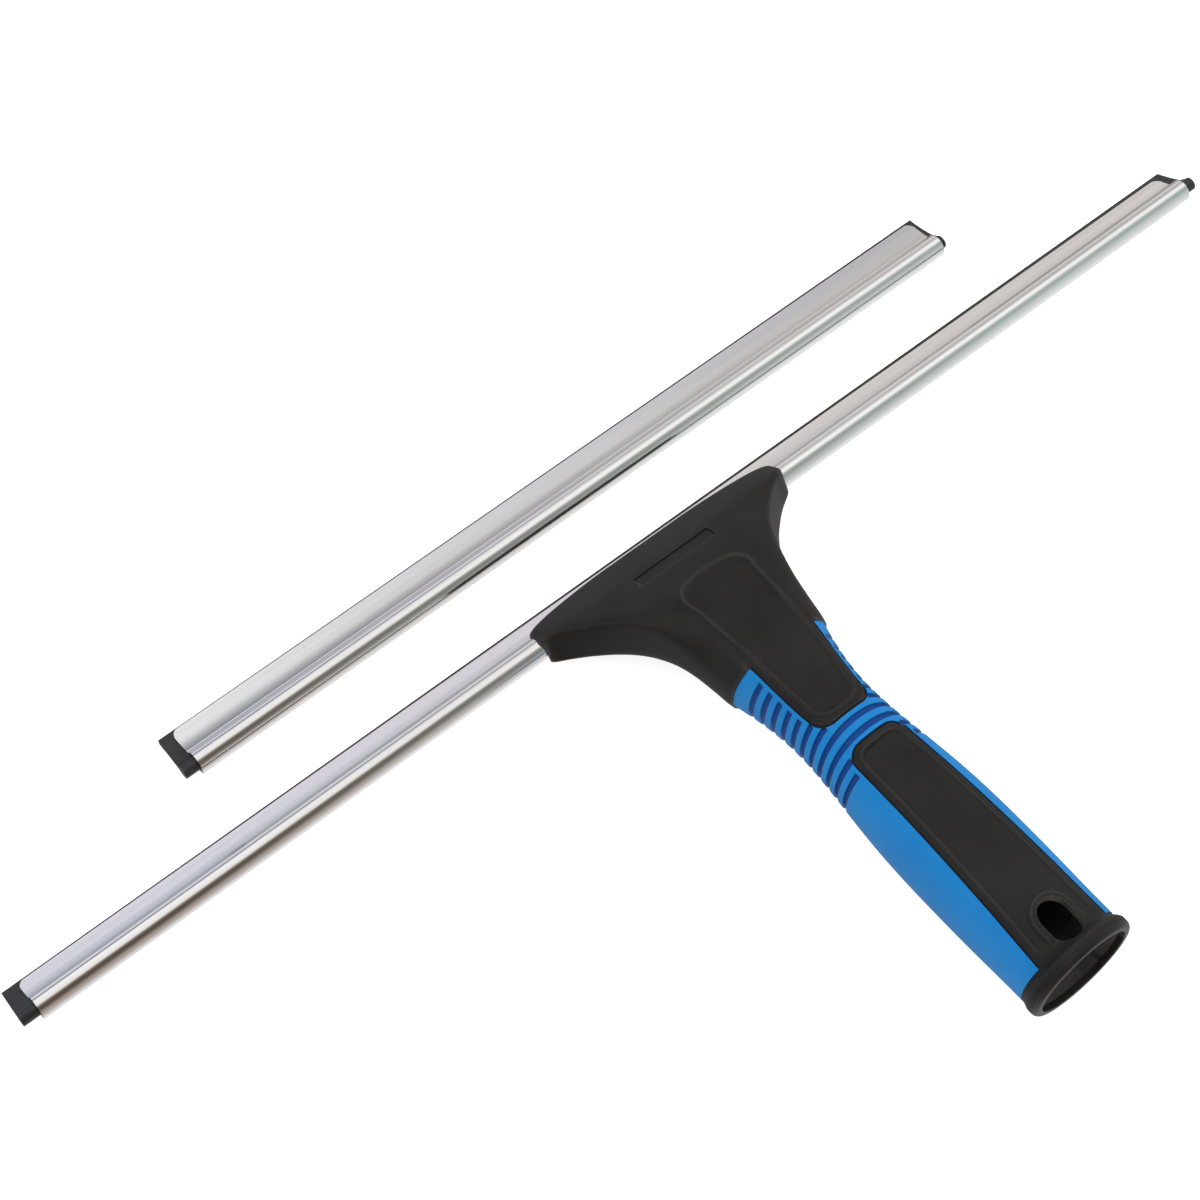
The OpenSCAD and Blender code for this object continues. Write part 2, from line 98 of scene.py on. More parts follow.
def mix(a, b, t):
    return a + (b - a) * t


def ease(t):
    t = min(1.0, max(0.0, t))
    return t * t * (3 - 2 * t)


def swing(t):
    return (1 - math.cos(math.pi * t)) / 2


def along(table, at):
    """Straight-line value from a short table of (place, value) pairs."""
    if at <= table[0][0]:
        return table[0][1]
    for (a, va), (b, vb) in zip(table, table[1:]):
        if at <= b:
            return mix(va, vb, (at - a) / (b - a))
    return table[-1][1]


# ---------------------------------------------------------------- workshop helpers

def lay_down_tools():
    if bpy.context.object and bpy.context.object.mode != "OBJECT":
        bpy.ops.object.mode_set(mode="OBJECT")
    bpy.ops.object.select_all(action="DESELECT")


def pick(piece):
    lay_down_tools()
    bpy.context.view_layer.objects.active = piece
    piece.select_set(True)


def edit(piece, mode="VERT"):
    pick(piece)
    bpy.ops.object.mode_set(mode="EDIT")
    bpy.ops.mesh.select_mode(type=mode)
    bpy.ops.mesh.select_all(action="SELECT")


def done():
    bpy.ops.object.mode_set(mode="OBJECT")


def close_up(piece):
    """Merge what lies together, close what is open and turn all faces outwards."""
    edit(piece)
    bpy.ops.mesh.remove_doubles(threshold=2e-6)
    bpy.ops.mesh.select_all(action="DESELECT")
    bpy.ops.mesh.select_non_manifold()
    bpy.ops.mesh.fill_holes(sides=0)
    bpy.ops.mesh.select_all(action="SELECT")
    bpy.ops.mesh.normals_make_consistent(inside=False)
    done()


def skin_over(name, sections):
    """A grid rolled into a tube, laid over the sections one after another and closed at both ends."""
    around = len(sections[0])
    lay_down_tools()
    bpy.ops.mesh.primitive_grid_add(x_subdivisions=around, y_subdivisions=len(sections) - 1, size=1)
    piece = bpy.context.object
    piece.name = piece.data.name = name
    places = []
    for section in sections:
        for point in section + section[:1]:
            places += [c * MM for c in point]
    piece.data.vertices.foreach_set("co", places)
    close_up(piece)
    return piece


def bar(name, outline, low, high, put):
    """An outline pushed straight from low to high; put turns (a, b, c) into the frame."""
    lay_down_tools()
    bpy.ops.mesh.primitive_circle_add(vertices=len(outline), radius=1, fill_type="NGON")
    piece = bpy.context.object
    piece.name = piece.data.name = name
    places = []
    for a, b in outline:
        places += [c * MM for c in put(a, b, low)]
    piece.data.vertices.foreach_set("co", places)
    start, end = put(0, 0, low), put(0, 0, high)
    edit(piece, "FACE")
    bpy.ops.mesh.extrude_region_move(
        TRANSFORM_OT_translate={"value": [(q - p) * MM for p, q in zip(start, end)]})
    bpy.ops.mesh.select_all(action="SELECT")
    bpy.ops.mesh.normals_make_consistent(inside=False)
    done()
    return piece


def round_bar(name, centre, radius, length, axis, sides=96, radius_end=None):
    """A round tool bit along Y, Z or X, starting at centre."""
    lay_down_tools()
    turn = {"Y": (-math.pi / 2, 0, 0), "Z": (0, 0, 0), "X": (0, math.pi / 2, 0)}[axis]
    way = {"Y": (0, 1, 0), "Z": (0, 0, 1), "X": (1, 0, 0)}[axis]
    middle = [(c + w * length / 2) * MM for c, w in zip(centre, way)]
    bpy.ops.mesh.primitive_cone_add(
        vertices=sides, radius1=radius * MM, radius2=(radius_end or radius) * MM,
        depth=length * MM, location=middle, rotation=turn)
    piece = bpy.context.object
    piece.name = name
    bpy.ops.object.transform_apply(location=True, rotation=True, scale=True)
    return piece


def block(name, low, high):
    lay_down_tools()
    bpy.ops.mesh.primitive_cube_add(size=1)
    piece = bpy.context.object
    piece.name = name
    piece.scale = [(b - a) * MM for a, b in zip(low, high)]
    piece.location = [(a + b) / 2 * MM for a, b in zip(low, high)]
    bpy.ops.object.transform_apply(location=True, rotation=True, scale=True)
    return piece


def work(piece, tool, how="DIFFERENCE"):
    """Cut the tool out of the piece, or join it on, and put the tool away."""
    pick(piece)
    cut = piece.modifiers.new(how.lower(), "BOOLEAN")
    cut.operation = how
    cut.solver = "MANIFOLD"
    cut.object = tool
    bpy.ops.object.modifier_apply(modifier=cut.name)
    bpy.data.objects.remove(tool)


def finish(piece, body, node, material, angle=32):
    """Give a piece its material, hang it on the body it rides on and hide the CAD part it stands for."""
    pick(piece)
    piece.data.materials.clear()
    piece.data.materials.append(material)
    bpy.ops.object.shade_smooth_by_angle(angle=math.radians(angle))
    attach(piece, body)
    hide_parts(node)
    return piece


def rounded(corners, steps=8):
    """Outline with arcs in place of its corners; each corner is (a, b, radius)."""
    outline = []
    count = len(corners)
    for i, (a, b, radius) in enumerate(corners):
        here = Vector((a, b))
        if radius <= 0:
            outline.append((a, b))
            continue
        before = (Vector(corners[i - 1][:2]) - here).normalized()
        after = (Vector(corners[(i + 1) % count][:2]) - here).normalized()
        half = before.angle(after) / 2
        centre = here + (before + after).normalized() * (radius / math.sin(half))
        start = here + before * (radius / math.tan(half)) - centre
        end = here + after * (radius / math.tan(half)) - centre
        turn = math.atan2(start.x * end.y - start.y * end.x, start.dot(end))
        for k in range(steps + 1):
            angle = turn * k / steps
            outline.append((centre.x + start.x * math.cos(angle) - start.y * math.sin(angle),
                            centre.y + start.x * math.sin(angle) + start.y * math.cos(angle)))
    return outline


# ---------------------------------------------------------------- the handle's sections

MID_POINTS, SIDE_POINTS, LOW_POINTS = 84, 18, 56


def grip_half(y):
    if y < 40:
        return mix(17.0, 17.4, swing(max(0, y - COLLAR_LEN) / (40 - COLLAR_LEN)))
    if y < 100:
        return mix(17.4, 14.1, swing(((y - 40) / 60) ** 1.4))
    return mix(14.1, 17.8, ((y - 100) / (GRIP_LEN - 100)) ** 2)


def grip_ring(y, inset=0.0):
    """(y, z, tilt, half-width, height, depth, squareness above, below) of the grip."""
    w = grip_half(y)
    heel = max(0, 1 - y / 26)
    shoulder = 0 if y < 100 else ((y - 100) / (GRIP_LEN - 100)) ** 1.5
    up = mix(w - 1.3 - 2.6 * heel, 15.6, shoulder)
    down = mix(w - 1.3 * min(1, y / 40), 13, shoulder)
    return (y, -min(1, y / 26), 0, w - inset, up - inset, down - inset, 2.25, 2.25)


def blade_y(s, h):
    return TIP_Y - s * math.cos(TILT) + h * math.sin(TILT)


def blade_z(s, h):
    return TIP_Z + s * math.sin(TILT) + h * math.cos(TILT)


HEAD_BACK = 44.0
# Half-width, squareness above and squareness below, against the Y of a section's centre
HALF = [(120, 17.9), (124, 18.3), (128, 19.2), (135, 19.95), (144, 21.5), (151, 23.9), (153.7, 25.2),
        (156.6, 27.1), (160.8, 30.2), (164.6, 34.0), (168.2, 38.4), (170.6, 42.2), (172.0, 44.9),
        (173.2, 46.7), (174.6, 47.4), (178, 47.5), (190, 47.5)]
SQUARE_UP = [(124, 2.4), (130, 2.6), (137, 3.1), (144, 4.0), (151, 5.6), (158, 8), (165, 10), (172, 11),
             (190, 8)]
SQUARE_DOWN = [(124, 2.3), (135, 2.8), (151, 5.0), (160, 8), (190, 9)]


def curve(table, at):
    """Smooth value through a short table."""
    last = len(table) - 1
    k = max(0, min(last - 1, sum(1 for place, _ in table if place <= at) - 1))
    (x0, a), (x1, b) = table[k], table[k + 1]
    before, after = table[max(0, k - 1)], table[min(last, k + 2)]
    slope_a = (b - before[1]) / (x1 - before[0])
    slope_b = (after[1] - a) / (after[0] - x0)
    run = x1 - x0
    t = min(1.0, max(0.0, (at - x0) / run))
    return ((2 * t ** 3 - 3 * t * t + 1) * a + (t ** 3 - 2 * t * t + t) * run * slope_a
            + (3 * t * t - 2 * t ** 3) * b + (t ** 3 - t * t) * run * slope_b)


def head_half(s):
    full = curve(HALF, blade_y(s, 0))
    lip = max(0.003, (s - LIP_BACK) / 7.0)
    return full if lip >= 1 else min(full, HEAD_W / 2 * (1 - (1 - lip) ** 2.3) ** (1 / 2.3))


def head_ring(s):
    rise = mix(3.5, 6.7, 1 - max(0, 1 - (s - LIP_BACK) / 17) ** 1.3)
    rise -= 0.8 * max(0, 1 - (s - LIP_BACK) / 0.7) ** 2
    fall = (5.3 - 2.7 * max(0, 1 - (s - LIP_BACK) / 9) ** 1.6 if s < 18
            else mix(5.3, 7.1, ease((s - 18) / 8)) + mix(0, 5.5, max(0, (s - 24) / (HEAD_BACK - 24)) ** 2))
    y = blade_y(s, 0)
    return (y, blade_z(s, 0), TILT, head_half(s), rise, fall, curve(SQUARE_UP, y), curve(SQUARE_DOWN, y))


NECK_START = (GRIP_LEN, -1, 0, 18.3, 15.6, 13.4, 2.4, 2.3)
NECK_END = head_ring(43.9)


def neck_ring(t):
    ring = [mix(a, b, t) for a, b in zip(NECK_START, NECK_END)]
    ring[5] = mix(NECK_START[5], NECK_END[5], t ** 1.5)
    ring[3] = curve(HALF, ring[0])
    ring[6] = curve(SQUARE_UP, ring[0])
    ring[7] = curve(SQUARE_DOWN, ring[0])
    return ring


def neck_section(t):
    """A neck section; beside the grip's end it stands proud, but runs level over the thumb rest."""
    ring = neck_ring(t)
    proud = section_points(ring)
    flush = section_points(ring[:3] + [ring[3] - 0.5 * (1 - t), ring[4], ring[5], 2.25, ring[7]])
    made = []
    for a, b in zip(proud, flush):
        part = max(ease(t / 0.35), ease((abs(a[0]) - 11.5) / 2.0))
        made.append(tuple(mix(q, p, part) for p, q in zip(a, b)))
    return ring, made


def section_points(ring, bow=0.0):
    """Points round one section, thick over the middle of the top where the fine work is."""
    y, z, tilt, w, up, down, sq_up, sq_down = ring
    flat = 0.8 * w if w < 18 else 14.4 + 0.35 * (w - 18)
    corner = math.acos((flat / w) ** (sq_up / 2))
    plan = []
    for k in range(SIDE_POINTS):
        a = corner * k / SIDE_POINTS
        plan.append((w * math.cos(a) ** (2 / sq_up), up * math.sin(a) ** (2 / sq_up)))
    for k in range(MID_POINTS + 1):
        x = flat * (1 - 2 * k / MID_POINTS)
        plan.append((x, up * (1 - (abs(x) / w) ** sq_up) ** (1 / sq_up)))
    for k in range(SIDE_POINTS - 1, 0, -1):
        a = corner * k / SIDE_POINTS
        plan.append((-w * math.cos(a) ** (2 / sq_up), up * math.sin(a) ** (2 / sq_up)))
    for k in range(LOW_POINTS):
        a = math.pi * k / LOW_POINTS
        c = math.cos(a)
        plan.append((-math.copysign(abs(c) ** (2 / sq_down), c) * w,
                     -down * math.sin(a) ** (2 / sq_down)))
    points = []
    for x, h in plan:
        lean = bow * max(0.0, h / up) ** 2
        points.append((x, y + h * math.sin(tilt) + lean, z + h * math.cos(tilt)))
    return points


def raised(ring, points, height):
    """The same points moved out of the section's top by height(x, y)."""
    y, z, tilt = ring[:3]
    moved = []
    for x, py, pz in points:
        up_here = (pz - z) * math.cos(tilt) + (py - y) * math.sin(tilt)
        face = ease((up_here / ring[4] - 0.25) / 0.2)
        lift = height(x, py) * face if face > 0 else 0.0
        moved.append((x, py + lift * math.sin(tilt), pz + lift * math.cos(tilt)))
    return moved


# ---------------------------------------------------------------- hard parts that come up through the grip

PALM = dict(w0=13.2, y0=-9.0, w1=9.7, y1=86.5)
THUMB = dict(w0=13.0, y0=133.0, w1=9.4, y1=95.6)
HANG_Y, HANG_W, HANG_LEN = 12.2, 9.6, 13.8


def window_outline(place, grow=0.0):
    end = math.copysign(grow, place["y1"] - place["y0"])
    return rounded([(-place["w0"] - grow, place["y0"], 0), (place["w0"] + grow, place["y0"], 0),
                    (place["w1"] + grow, place["y1"] + end, 5 + grow),
                    (-place["w1"] - grow, place["y1"] + end, 5 + grow)])


def outside(x, y, half, low, high, radius):
    """How far (x, y) lies outside a round-cornered field; less than nothing inside."""
    dx = abs(x) - (half - radius)
    dy = abs(y - (low + high) / 2) - ((high - low) / 2 - radius)
    return math.hypot(max(dx, 0), max(dy, 0)) + min(max(dx, dy), 0) - radius


def palm_height(x, y):
    half = mix(13.2, 9.7, (y + 9) / 95.5)
    edge = outside(x, y, half, -40, 86.5, 5)
    lift = -0.55 * (1 - ease(-edge / 0.9)) ** 2
    field = outside(x, y, half - 2.3, -40, 84.0, 3.6)
    calm = ease((y - 7.5) / 4)
    lift -= 0.6 * ease(-field / 0.9) * calm
    lift += 0.12 * ease(1 - abs(field - 0.7) / 0.9) * calm
    # Raised lip round the head side of the hanging hole
    hole = outside(x, y, HANG_W / 2, HANG_Y - HANG_LEN / 2, HANG_Y + HANG_LEN / 2, HANG_W / 2 - 0.01)
    lip = ease(1 - (hole - 1.5) / 1.2) * ease((y - 7) / 4)
    lift += 0.95 * lip
    return lift


THUMB_HALF = [(99, 6.6), (104, 7.4), (112, 8.6), (120, 9.4), (134, 9.65), (148, 10.5), (157, 12.2)]


def thumb_height(x, y):
    lift = 0.0
    if y < 126:
        half = along([(95.6, 9.4), (133, 13)], y)
        edge = outside(x, y, half, 95.6, 180, 5)
        lift -= 0.55 * (1 - ease(-edge / 0.9)) ** 2 * ease((125 - y) / 2)
    top = 157.5 - 0.016 * x * x
    field = outside(x, y, along(THUMB_HALF, y), 99.2, top, 4.5)
    lift -= 0.6 * ease(-field / 1.0)
    lift += 0.2 * ease(1 - abs(field - 0.9) / 1.1)
    lift += 0.35 * ease((y - 128) / 10) * ease(1 - abs(field - 1.2) / 1.8)
    return lift


def core_height(x, y):
    return palm_height(x, y) if y < 91 else thumb_height(x, y)


def collar_radius(y):
    return along([(0, 16.9), (0.15, 17.3), (0.5, 17.7), (1.0, 18.0), (1.7, 18.14), (2.6, 18.17),
                  (3.4, 18.1), (4.2, 17.95), (5.2, 17.6), (6.4, 17.0), (9, 17.0)], y)


def collar_section(y):
    """The round collar, flowing into the grip sooner at the sides than on top."""
    r = collar_radius(y)
    rim = section_points((y, 0, 0, r, r, r, 2, 2))
    grip_at = grip_ring(y)
    grip = raised(grip_at, section_points(grip_at), core_height)
    points = []
    for a, b in zip(rim, grip):
        top = max(0.0, a[2] / r) ** 2
        t = ease((y - 3.2) / (mix(6.39, 9.2, top) - 3.2))
        points.append(tuple(mix(p, q, t) for p, q in zip(a, b)))
    return points


def hard_sections():
    sections = []
    for y in [0, 0.15, 0.3, 0.5, 0.75, 1.0, 1.35, 1.7, 2.1, 2.6] + [3.0 + 0.35 * k for k in range(18)]:
        sections.append(collar_section(y))
    y = 9.4
    while y < GRIP_LEN - 0.3:
        ring = grip_ring(y)
        sections.append(raised(ring, section_points(ring), core_height))
        y += 0.55
    steps = 44
    front = [neck_section(k / steps) for k in range(steps)]
    s = 43.9
    while s > 5.02:
        ring = head_ring(s)
        front.append((ring, section_points(ring)))
        s -= 0.55 if s > 16 else 0.4 if s > 9 else 0.22 if s > 6 else 0.1
    # The crest where the neck meets the head is rounded over before the fine work goes on
    for number, (ring, points) in enumerate(front):
        reach = max(0, min(13, number, 2 * steps - number))
        near_by = [front[k][1] for k in range(number - reach, number + reach + 1)]
        soft = [tuple(sum(p[axis] for p in same) / len(same) for axis in range(3)) for same in zip(*near_by)]
        sections.append(raised(ring, soft, core_height))
    sections.append(section_points(head_ring(5.02)))
    return sections


def plain_grip(name, inset, low, high):
    count = int((high - low) / 1.5)
    return skin_over(name, [section_points(grip_ring(mix(low, high, k / count), inset))
                            for k in range(count + 1)])


def window_bar(name, place, grow=0.0):
    return bar(name, window_outline(place, grow), 0, 30, lambda a, b, c: (a, b, c))


def slot_bar(name, half, low, high, less):
    """A tool for the hanging hole, right through the grip; its ends are all but half circles."""
    ends = [(-half, low), (half, low), (half, high), (-half, high)]
    return bar(name, rounded([(x, y, half - less) for x, y in ends], 12), -22, 22,
               lambda a, b, c: (a, b, c))


def make_core():
    core = skin_over("hard_core", hard_sections())
    # Room for the soft grip all round, but for the two hard windows
    room = plain_grip("room", -2.5, COLLAR_LEN - 0.01, GRIP_LEN - 0.02)
    work(room, plain_grip("inner", SLEEVE_T, COLLAR_LEN - 1, GRIP_LEN + 1))
    work(room, window_bar("palm", PALM))
    work(room, window_bar("thumb", THUMB))
    work(core, room)
    # Lock housing under the neck, its pocket and the pin's hole
    tube_y, tube_z = blade_y(TUBE_BACK, 0), blade_z(TUBE_BACK, 0)
    nose_y = tube_y - math.sqrt((TUBE_R + 2.2) ** 2 - (tube_z - LEVER_Z - LEVER_T / 2) ** 2) - 0.6
    front, back, top, under = tube_y - TUBE_R - 1, GRIP_LEN + 8, POCKET_TOP + 3, LEVER_Z - 0.6
    housing = bar("housing", [(back, top), (back + 15, under), (front, under),
                              (front, LEVER_Z + LEVER_T), (front - 12, top)],
                  -LEVER_W / 2 - 3.5, LEVER_W / 2 + 3.5, lambda a, b, c: (c, a, b))
    work(core, housing, "UNION")
    half, below = LEVER_W / 2 + 0.5, FLOOR_Z - 1
    work(core, block("pocket", (-half, PIVOT_Y - LEVER_TAIL - 1.5, below), (half, PIVOT_Y, POCKET_TOP)))
    work(core, block("nose_room", (-half, PIVOT_Y - 0.01, below),
                     (half, tube_y - 1, LEVER_Z + LEVER_T + 2.4)))
    work(core, block("mouth", (-half, nose_y - 0.01, below), (half, nose_y + 7, tube_z)))
    work(core, round_bar("pin_hole", (-15.02, PIVOT_Y, PIVOT_Z), PIN_R + 0.02, 30.04, "X", 48))
    work(core, round_bar("spring_seat", (0, SPRING_Y, POCKET_TOP - 0.01), 3.35, 1.6, "Z", 48))
    # The channel's way through the head
    on_blade = lambda a, b, c: (c, blade_y(-a, b), blade_z(-a, b))
    round_way = [(-TUBE_BACK + 4 * math.cos(k * math.pi / 24), 4 * math.sin(k * math.pi / 24))
                 for k in range(48)]
    work(core, bar("tube_way", round_way, -60, 60, on_blade))
    work(core, bar("flange_way", [(-TUBE_BACK, -2.25), (15, -2.25), (15, 2.25), (-TUBE_BACK, 2.25)],
                   -60, 60, on_blade))
    under_way = [(-18.2, -12), (15, -12), (15, 0), (-18.2, 0)]
    for side in (-1, 1):
        work(core, bar("under_way", under_way, side * 27, side * 60, on_blade))
    # Plain shallow field on top of the head
    work(core, bar("field", rounded([(-14.8, -28.2, 0.8), (14.2, -28.2, 0.8), (14.2, -22.6, 0.8),
                                     (-14.8, -22.6, 0.8)], 4), 6.2, 9,
                   lambda a, b, c: (a, blade_y(-b, c), blade_z(-b, c))))
    # Pole socket and hanging hole
    work(core, round_bar("mouth_bore", (0, -1, 0), MOUTH_R, 3.0, "Y", 128))
    work(core, round_bar("lead_in", (0, 1.99, 0), MOUTH_R, 4.52, "Y", 128, THROAT_R))
    work(core, round_bar("taper", (0, 6.5, 0), THROAT_R, 15.5, "Y", 128, SOCKET_R))
    work(core, round_bar("bore", (0, 21.9, 0), SOCKET_R, 32.1, "Y", 128))
    work(core, slot_bar("hang_hole", HANG_W / 2, HANG_Y - HANG_LEN / 2, HANG_Y + HANG_LEN / 2, 0.02))
    return core


def make_spring():
    """The lock's coil spring, wound up from one turn of wire."""
    turns, coil, wire = 4, 2.45, 0.32
    low = LEVER_Z + LEVER_T - 0.75
    high = POCKET_TOP + 1.35
    lay_down_tools()
    bpy.ops.mesh.primitive_circle_add(vertices=12, radius=wire * MM, rotation=(math.pi / 2, 0, 0),
                                      location=(coil * MM, 0, 0))
    spring = bpy.context.object
    spring.name = spring.data.name = "lock_spring"
    bpy.ops.object.transform_apply(location=True, rotation=True, scale=True)
    wind = spring.modifiers.new("wind", "SCREW")
    wind.iterations, wind.steps, wind.render_steps = turns, 36, 36
    wind.screw_offset = (high - low - 2 * wire) / turns * MM
    bpy.ops.object.modifier_apply(modifier=wind.name)
    close_up(spring)
    spring.location = (0, SPRING_Y * MM, (low + wire) * MM)
    bpy.ops.object.transform_apply(location=True, rotation=True, scale=True)
    return spring, high


# ---------------------------------------------------------------- soft grip

def groove_bow(y):
    """How far the grooves bow forwards on top, strongest in the middle of the set."""
    part = (y - GROOVE_START + 8) / (GROOVE_COUNT * GROOVE_PITCH + 10)
    return 2.4 * max(0.0, math.sin(math.pi * min(1, max(0, part))))


def groove_reach(number, x, z):
    """How much of a groove is cut at one place round the grip: nos. 2 and 3 run over the top."""
    if z < 0 or number in (2, 3):
        return 1.0
    beside_palm, beside_thumb = [(79, 10.0), (86.5, 7.0)], [(95, 7.0), (100, 9.9), (133, 13)]
    hard = along(beside_palm if number < 2 else beside_thumb, GROOVES[number])
    return ease((abs(x) - hard - 0.8) / 0.7)


def soft_sections():
    sections = []
    y = COLLAR_LEN
    while y < GROOVES[0] - 2.2:
        sections.append((y, None, 0))
        y += 1.2
    shape = [(-1.1, 0), (-0.95, 0.07), (-0.85, 0.5), (-0.75, 0.92), (-0.5, 1), (0, 1),
             (0.5, 1), (0.75, 0.92), (0.85, 0.5), (0.95, 0.07), (1.1, 0)]
    for number, at in enumerate(GROOVES):
        sections += [(at + place, number, deep * GROOVE_DEPTH) for place, deep in shape]
        if number < GROOVE_COUNT - 1:
            sections.append((at + GROOVE_PITCH / 2, None, 0))
    y = GROOVES[-1] + 2
    while y < GRIP_LEN - 0.6:
        sections.append((y, None, 0))
        y += 0.9
    sections.append((GRIP_LEN - 0.04, None, 0))
    made = []
    for y, number, deep in sections:
        ring = grip_ring(min(y, GRIP_LEN))
        bow = groove_bow(y)
        outer = section_points(ring, bow)
        if deep:
            floor = ring[:3] + tuple(reach - deep for reach in ring[3:6]) + ring[6:]
            inner = section_points(floor, bow)
            outer = [tuple(mix(p, q, groove_reach(number, a[0], a[2] + 1)) for p, q in zip(a, b))
                     for a, b in zip(outer, inner)]
        made.append(outer)
    return made


def make_grip():
    grip = skin_over("soft_grip", soft_sections())
    work(grip, plain_grip("inner", SLEEVE_T - 0.02, COLLAR_LEN - 1, GRIP_LEN + 1))
    work(grip, window_bar("palm", PALM, 0.14))
    work(grip, window_bar("thumb", THUMB, 0.14))
    work(grip, slot_bar("hang_room", 5.4, 4.7, 19.7, 0.1))
    work(grip, block("end", (-30, GRIP_LEN - 0.03, -30), (30, GRIP_LEN + 10, 30)))
    return grip


# ---------------------------------------------------------------- channels and rubbers

def long_put(x, back, h):
    """From the mounted channel's own lines into the frame."""
    return (x + LONG_X, blade_y(-back, h), blade_z(-back, h))


def spare_put(x, back, h):
    """From the spare channel's own lines into the frame, where it lies a little turned."""
    y = back * math.cos(SPARE_TILT) + h * math.sin(SPARE_TILT)
    z = FLOOR_Z + (BLADE_T / 2 + h) * math.cos(SPARE_TILT) - back * math.sin(SPARE_TILT)
    c, s = math.cos(SPARE_TURN), math.sin(SPARE_TURN)
    return (SPARE_X + x * c - y * s, TIP_Y + SPARE_GAP + x * s + y * c, z)


def sheet_outline(edge):
    """The folded sheet: hollow upper flange, tube and flat lower flange."""
    inner, r, back = TUBE_R - SHEET_T, TUBE_R, -TUBE_BACK
    outline = [(-edge, FLANGE_H + 0.25), (-edge, 1.3), (-edge - 0.08, 1.5), (-edge - 0.3, 1.58)]
    for k in range(1, 13):                       # hollow top of the flange, out to the fillet
        a = mix(edge + 0.3, 9.0, k / 12)
        hollow = math.sin(math.pi / 2 * (a - edge - 0.3) / (FLANGE_ROOT - edge))
        outline.append((-a, mix(1.58, 1.0, hollow)))
    for k in range(1, 11):                       # fillet into the tube
        a = math.radians(mix(90, 32.84, k / 10))
        outline.append((-9.243 - 2.2 * math.cos(a), 3.2 - 2.2 * math.sin(a)))
    for k in range(1, 41):                       # round the tube
        a = mix(math.radians(32.84), 2 * math.pi - math.asin((FLANGE_H + SHEET_T) / r), k / 40)
        outline.append((back + r * math.cos(a), r * math.sin(a)))
    outline += [(-LOWER_BACK - 0.2, -FLANGE_H - SHEET_T), (-LOWER_BACK, -FLANGE_H - SHEET_T + 0.2),
                (-LOWER_BACK, -FLANGE_H)]
    low, high = math.asin(FLANGE_H / inner), math.asin(0.6 / inner)
    for k in range(33):                          # bore of the tube
        a = mix(2 * math.pi - low, high, k / 32)
        outline.append((back + inner * math.cos(a), inner * math.sin(a)))
    outline += [(-9.0, 0.6), (-6.0, 0.66), (-3.5, 0.85), (-edge - 0.25, 1.05)]
    return outline


def make_channel(name, length, left_edge, right_edge, put):
    """The flange's front edge stands back from the rubber's, by a little more at one end."""
    channel = bar(name, sheet_outline(left_edge), -length / 2, length / 2, lambda a, b, c: put(c, a, b))
    start, across, up = (Vector(put(*p)) for p in ((0, 0, 0), (0, 1, 0), (0, 0, 1)))
    across, up = across - start, up - start
    for vertex in channel.data.vertices:
        here = vertex.co / MM - start
        if here.dot(up) > 0.5 and here.x > 0:
            part = min(1, max(0, (here.dot(across) + FLANGE_ROOT) / (FLANGE_ROOT - left_edge)))
            vertex.co -= across * (right_edge - left_edge) * part * MM
    for side in (-1, 1):                         # rounded corners of the flanges
        end, r, edge = side * length / 2, CORNER_R, left_edge if side < 0 else right_edge
        arc = [(end - side * r + side * r * math.sin(math.radians(a)),
                -edge - r + r * math.cos(math.radians(a))) for a in range(0, 91, 6)]
        corner = ([(end - side * r, -edge + 2)] + arc
                  + [(end + side * 2, -edge - r), (end + side * 2, -edge + 2)])
        work(channel, bar("corner", corner, -6, 6, lambda a, b, c: put(a, b, c)))
    return channel


def make_rubber(name, length, over_left, over_right, put):
    low, high = -length / 2 - over_left, length / 2 + over_right
    outline = [(-0.12, -1), (0, -0.88), (0, 0.92), (-0.12, 1.04)]
    outline += [(-a, mix(1.04, 0.52, math.sin(math.pi / 2 * (a - 0.4) / 7.6)))
                for a in (0.4, 1.5, 2.5, 4, 6, 8)]
    outline += [(-9.4 - 2.75 * math.cos(math.radians(a)), 3.27 - 2.75 * math.sin(math.radians(a)))
                for a in (84, 74, 64, 56)]
    outline += [(-TUBE_BACK + 2.25 * math.cos(a), 2.25 * math.sin(a))
                for a in [math.radians(42 + 301 * k / 40) for k in range(41)]]
    outline += [(-3.6, -0.65), (-3.0, -1)]
    rubber = bar(name, outline, low, high, lambda a, b, c: put(c, a, b))
    # The ends are cut a little aslant, so that the bead stands out furthest
    tip = put(0, 0, 0)
    middle = put((low + high) / 2, 0, 0)[0] * MM
    for vertex in rubber.data.vertices:
        back = math.hypot(vertex.co.y / MM - tip[1], vertex.co.z / MM - tip[2])
        vertex.co.x += math.copysign(0.79 * min(1, back / 12.5), vertex.co.x - middle) * MM
    return rubber


# ---------------------------------------------------------------- finishes

